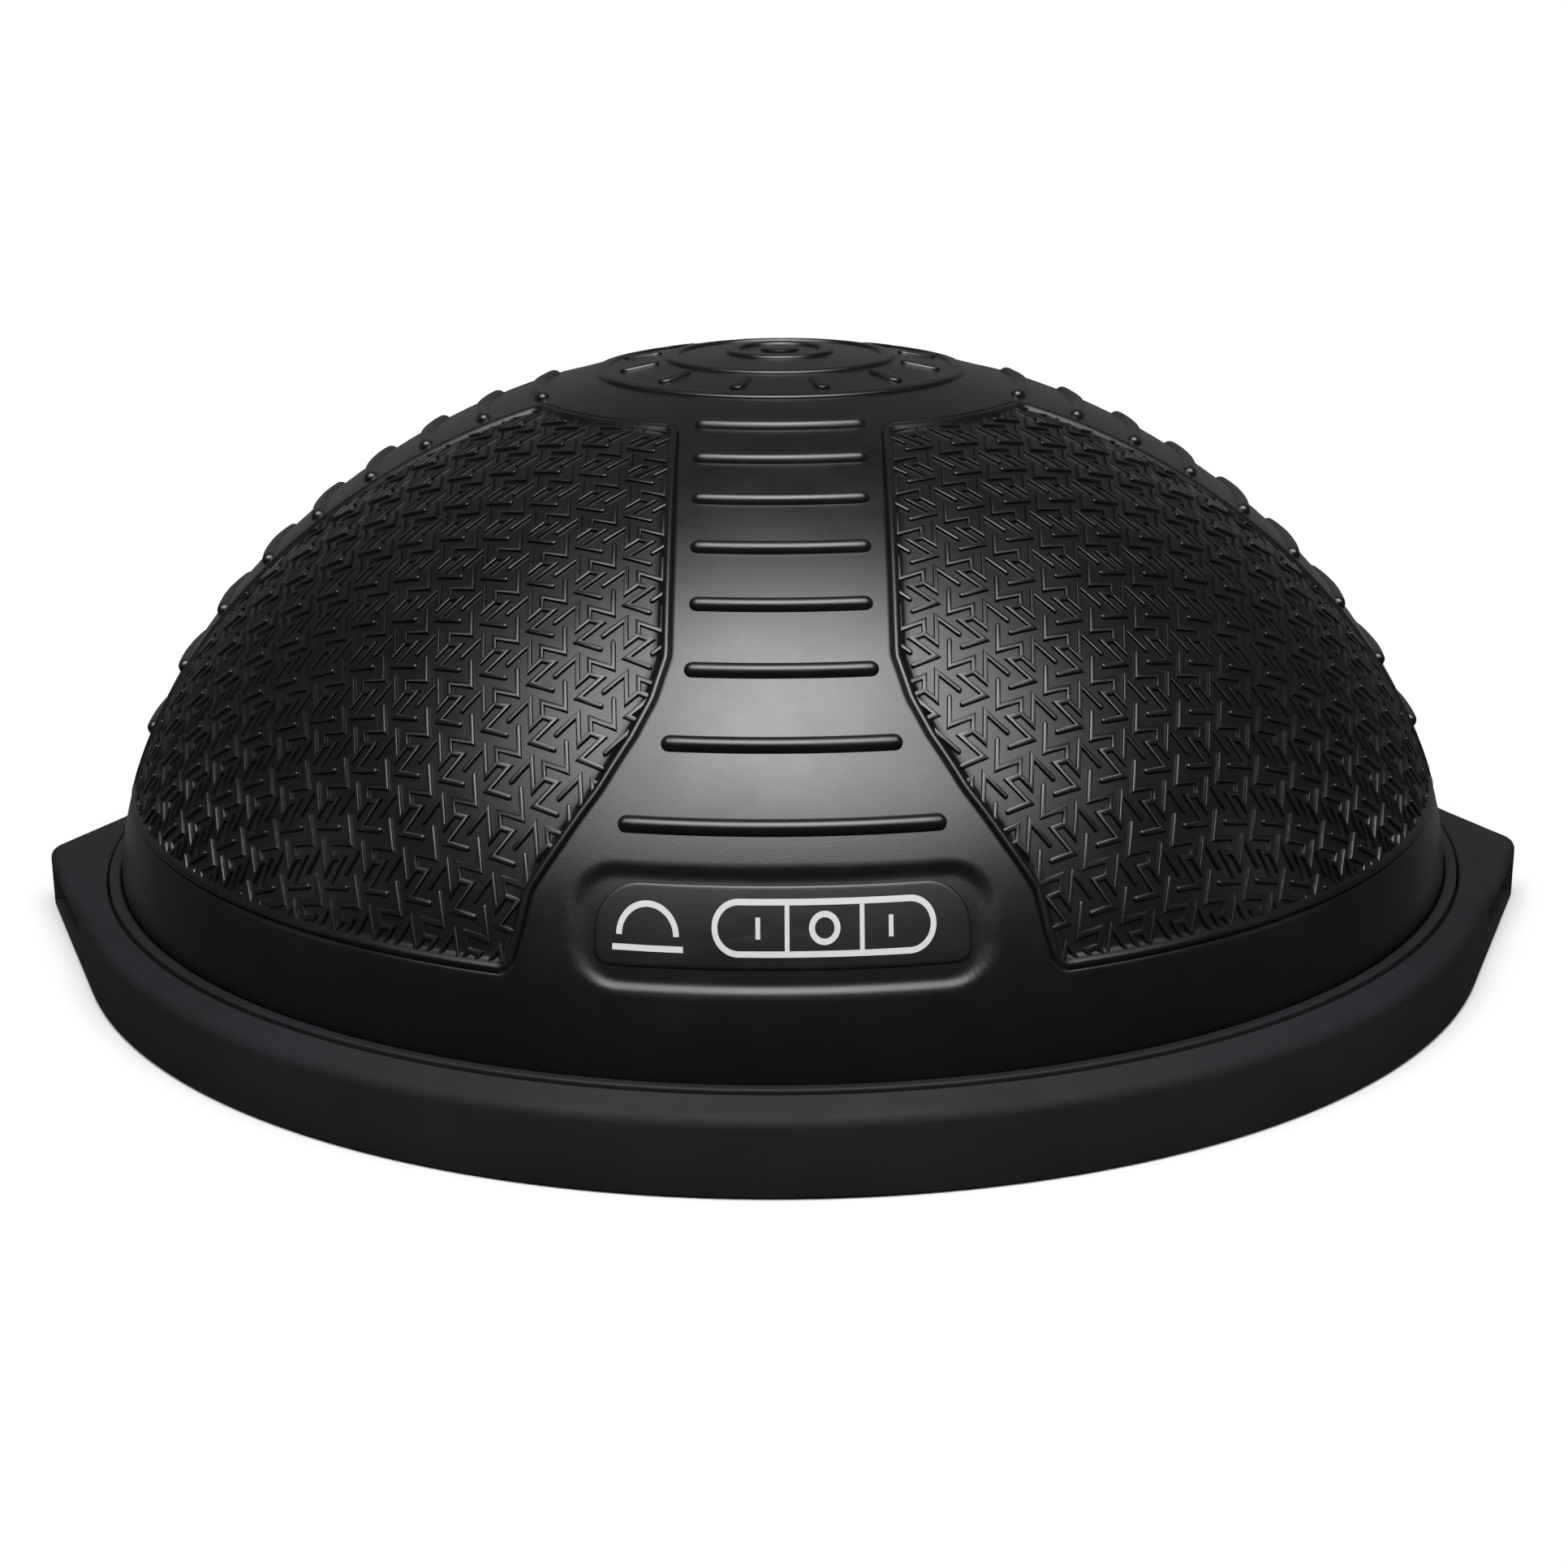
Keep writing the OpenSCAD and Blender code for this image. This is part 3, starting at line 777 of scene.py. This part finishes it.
def clamp_lip():
    """The clamp ring, with its rounded lip against the dome."""
    low, join = 16.2, 26.0
    profile = [(LIP_IN, 22.2), (LIP_OUT + 0.7, 22.2), (LIP_OUT + 0.7, low), (CLAMP_OUT, low),
               (CLAMP_OUT, join), (LIP_OUT, join)]
    profile += arc(LIP_OUT - 1.1, LIP_TOP - 1.1, 1.1, 0, 90, 6)
    profile += arc(LIP_IN + 1.3, LIP_TOP - 1.3, 1.3, 90, 180, 6)
    points, faces = turned(profile[::-1], 288)
    lip = make_mesh("clamp_lip", points, faces, CLAMP_PLASTIC, 35)
    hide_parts("clamp_ring")


def grip_outline(angle):
    """Radius of the rim's plan at an angle from the X axis."""
    tangent = math.acos(RIM_R / GRIP_REACH)
    a = abs(angle)
    if a >= tangent:
        return RIM_R
    centre = GRIP_REACH - GRIP_ROUND / math.cos(tangent)
    touch = math.atan2(GRIP_ROUND * math.sin(tangent), centre + GRIP_ROUND * math.cos(tangent))
    if a < touch:
        return centre * math.cos(a) + math.sqrt(GRIP_ROUND ** 2 - (centre * math.sin(a)) ** 2)
    return RIM_R / math.cos(a - tangent)


def rim_angles():
    """Angles of the rim's sections: closer together beside the grips' webs and at the pockets' ends."""
    quarter = list(np.arange(0, 3.2, 0.16)) + list(np.arange(3.2, 12.4, 0.4)) + list(np.arange(12.4, 18, 0.2))
    quarter += list(np.arange(18, 24, 0.4)) + list(np.arange(24, 89.4, 0.75)) + [90]
    quarter = np.radians(quarter)
    half = np.concatenate([quarter, (math.pi - quarter)[::-1][1:]])
    return np.concatenate([half, (2 * math.pi - half)[::-1][1:-1]])


def rim_section(angle):
    """(r, z) points around the rubber at one angle from +X."""
    local = (angle + math.pi / 2) % math.pi - math.pi / 2
    out = grip_outline(local)
    swell = smooth((out - RIM_R) / 8)
    taper = WALL_TAPER * (1 - swell)
    edge = 2.9 + 1.4 * swell
    shoulder = out - taper
    across = out * abs(math.sin(local))
    pocket = smooth((across - POCKET_NEAR) / 7) * smooth((POCKET_FAR - across) / 5)
    low = float(np.interp(across, *POCKET_FLOOR))
    depth = (out - POCKET_BACK) * math.sqrt(pocket)
    lip = 0.9 * math.sqrt(pocket)

    def top(r):
        slope = SLOPE_TOP - (r - BUMPER_IN - 1) * SLOPE
        grip = GRIP_TOP - abs(r * math.sin(local)) * GRIP_FALL
        soft = 0.35
        return soft * math.log(math.exp(slope / soft) + math.exp(min(grip, slope + 40) / soft))

    def wall(z, inset=0.0):
        return out - taper * (z - SKIRT_Z) / (WALL_TOP - SKIRT_Z) - inset, z

    rows = [(BUMPER_IN, JOINT_Z), (BUMPER_IN, SLOPE_TOP - 1), (BUMPER_IN + 0.3, SLOPE_TOP - 0.35),
            (BUMPER_IN + 1, SLOPE_TOP)]
    start = BUMPER_IN + 1.8
    for share in (0, 0.16, 0.32, 0.48, 0.64, 0.82, 1):
        r = start + (shoulder - edge - start) * share
        rows.append((r, top(r)))
    for turn in (15, 30, 45, 60, 75, 90):
        r = shoulder - edge + edge * math.sin(math.radians(turn))
        rows.append((r, top(r) - edge * (1 - math.cos(math.radians(turn)))))
    rows += [wall(POCKET_TOP + 1.3), wall(POCKET_TOP + 0.6, 0.25 * lip), wall(POCKET_TOP + 0.2, lip),
             wall(POCKET_TOP + 0.05, lip + 0.4 * depth), wall(POCKET_TOP - 0.1, depth - 0.5 * lip),
             wall(POCKET_TOP - 1, depth), wall((POCKET_TOP + low) / 2, depth), wall(low + 0.9, depth),
             wall(low + 0.2, depth - 0.5 * lip), wall(low, lip + 0.4 * depth), wall(low - 0.2, lip),
             wall(low - 0.6, 0.25 * lip), wall(low - 1.2), wall(SKIRT_Z + 1.5), wall(SKIRT_Z + 0.4, 0.45)]
    rows += [(out - 1.5, SKIRT_Z), (SKIRT_IN, SKIRT_Z), (SKIRT_IN, BASE_Z), (CLAMP_OUT + 0.4, BASE_Z + 1),
             (CLAMP_OUT + 0.4, JOINT_Z)]
    return rows


def rim_bumper():
    """The rubber rim, joined from its sections around Z, with a crease at each grip's point."""
    angles = rim_angles()
    sections = [rim_section(a) for a in angles]
    rows, columns = len(sections[0]), len(angles)
    points = []
    for i in range(rows):
        for a, around in zip(angles, sections):
            r, z = around[i]
            points.append((r * math.cos(a), r * math.sin(a), z))
    faces = grid_faces(rows, columns, wrap_rows=True)
    creases = []
    for j in (0, int(np.argmin(np.abs(angles - math.pi)))):
        creases += [(i * columns + j, (i + 1) * columns + j) for i in range(4, 16)]
    bumper = make_mesh("bumper_with_grips", points, faces, BUMPER_RUBBER, 34, creases)
    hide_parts("rim_bumper")


# ---------------------------------------------------------------- carried-over nodes

def finish_nodes():
    """Materials of the CAD nodes that are shown as they are."""
    finishes = {"deck_plate": DECK_PLASTIC, "base_shell": BASE_PLASTIC, "valve_cup": BASE_PLASTIC,
                "bead_gasket": GASKET_RUBBER, "rim_screws": SCREW_STEEL, "rim_inserts": INSERT_BRASS,
                "deck_screws": SCREW_STEEL, "valve_grommet": GASKET_RUBBER, "valve_body": VALVE_PLASTIC,
                "valve_plug": PLUG_RUBBER, "valve_o_ring": GASKET_RUBBER}
    finishes.update({name: FOOT_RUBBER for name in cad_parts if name.startswith("foot_")})
    for name, material in finishes.items():
        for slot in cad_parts[name].material_slots:
            slot.material = material


# ---------------------------------------------------------------- stage

def stage_piece(name, points, faces, paper):
    """A piece of the studio, in metres. It doesn't show in the part's reflections."""
    mesh = bpy.data.meshes.new(name)
    mesh.from_pydata(points, [], faces)
    mesh.materials.append(paper.material)
    piece = bpy.data.objects.new(name, mesh)
    bpy.context.scene.collection.objects.link(piece)
    piece.visible_glossy = False
    return piece


def pale_floor():
    """A flat floor that the part stands on."""
    far = 40.0
    corners = [(-far, -far, 0), (far, -far, 0), (far, far, 0), (-far, far, 0)]
    paper = Nodes("floor_paper", (0.5, 0.5, 0.5), 0.9, 0.0)
    floor = stage_piece("floor", corners, [(0, 1, 2, 3)], paper)


def pale_wall():
    """A far round wall behind the floor's edge. It is seen, but neither lights nor shades the part."""
    far = 30.0
    high = 16.0
    sides = 96
    turns = [2 * math.pi * k / sides for k in range(sides)]
    points = [(far * math.cos(t), far * math.sin(t), 0) for t in turns]
    points += [(x, y, high) for x, y, _ in points]
    faces = [(k, (k + 1) % sides, (k + 1) % sides + sides, k + sides) for k in range(sides)]
    paper = Nodes("wall_paper", (0.8, 0.8, 0.8), 0.9, 0.0)
    paper.shader.inputs["Emission Color"].default_value = (1, 1, 1, 1)
    paper.shader.inputs["Emission Strength"].default_value = 0.9
    wall = stage_piece("wall", points, faces, paper)
    wall.visible_diffuse = False
    wall.visible_shadow = False


def studio_light():
    """Soft lights painted on the sky: each is a direction, a half width, a soft edge and a strength."""
    world = bpy.data.worlds.new("studio")
    bpy.context.scene.world = world
    world.use_nodes = True
    tree = world.node_tree
    tree.nodes.clear()
    place = tree.nodes.new("ShaderNodeTexCoord").outputs["Generated"]
    total = None
    sky_glow = 0.06
    lamps = [
        ((-0.22, -0.38, 0.9), 5, 32, 6.4),
        ((0.22, -0.38, 0.9), 5, 32, 6.4),
        ((0.0, -0.12, 1.0), 5, 30, 1.9),
        ((-0.97, -0.05, 0.26), 2, 9, 0.6),
        ((0.97, -0.05, 0.26), 2, 9, 0.6),
        ((0.0, 1.0, 0.1), 15, 60, 0.1),
    ]
    for direction, half, soft_to, strength in lamps:
        length = math.sqrt(sum(c * c for c in direction))
        dot = tree.nodes.new("ShaderNodeVectorMath")
        dot.operation = "DOT_PRODUCT"
        dot.inputs[1].default_value = [c / length for c in direction]
        tree.links.new(place, dot.inputs[0])
        lobe = tree.nodes.new("ShaderNodeMapRange")
        lobe.interpolation_type = "SMOOTHSTEP"
        lobe.inputs["From Min"].default_value = math.cos(math.radians(soft_to))
        lobe.inputs["From Max"].default_value = math.cos(math.radians(half))
        lobe.inputs["To Min"].default_value = 0
        lobe.inputs["To Max"].default_value = strength
        tree.links.new(dot.outputs["Value"], lobe.inputs["Value"])
        if total is None:
            total = lobe.outputs[0]
            continue
        add = tree.nodes.new("ShaderNodeMath")
        add.operation = "ADD"
        tree.links.new(total, add.inputs[0])
        tree.links.new(lobe.outputs[0], add.inputs[1])
        total = add.outputs[0]
    base = tree.nodes.new("ShaderNodeMath")
    base.operation = "ADD"
    base.inputs[1].default_value = sky_glow
    tree.links.new(total, base.inputs[0])
    sky = tree.nodes.new("ShaderNodeBackground")
    sky.inputs["Color"].default_value = (1, 1, 1, 1)
    tree.links.new(base.outputs[0], sky.inputs["Strength"])
    out = tree.nodes.new("ShaderNodeOutputWorld")
    tree.links.new(sky.outputs[0], out.inputs["Surface"])


def camera():
    """A camera in front of the part, a little above it. Distances are in metres and angles in radians."""
    bpy.context.scene.view_settings.view_transform = "Standard"
    distance = 1.241
    pitch = 0.302
    roll = -0.006
    aim = (0.0007, 0, 0.0565)
    data = bpy.data.cameras.new("camera")
    data.lens = 61.63
    data.sensor_width = 36
    data.clip_end = 200
    cam = bpy.data.objects.new("camera", data)
    cam.location = (aim[0], aim[1] - distance * math.cos(pitch), aim[2] + distance * math.sin(pitch))
    cam.rotation_euler = (math.pi / 2 - pitch, 0, 0)
    cam.rotation_euler.rotate_axis("Z", roll)
    bpy.context.scene.collection.objects.link(cam)
    bpy.context.scene.camera = cam


dome_skin()
for side_x, x_name in ((1, "left"), (-1, "right")):
    for side_y, y_name in ((1, "front"), (-1, "back")):
        panel_ribs(f"panel_ribs_{y_name}_{x_name}", (side_x, side_y))
for index, (column, count) in enumerate((("front", 8), ("right", 9), ("back", 9), ("left", 9))):
    foot_ridges(f"foot_ridges_{column}", index * math.pi / 2, count, column == "front")
crown_emblem()
label_plate()
label_print()
clamp_lip()
rim_bumper()
finish_nodes()
pale_floor()
pale_wall()
studio_light()
camera()
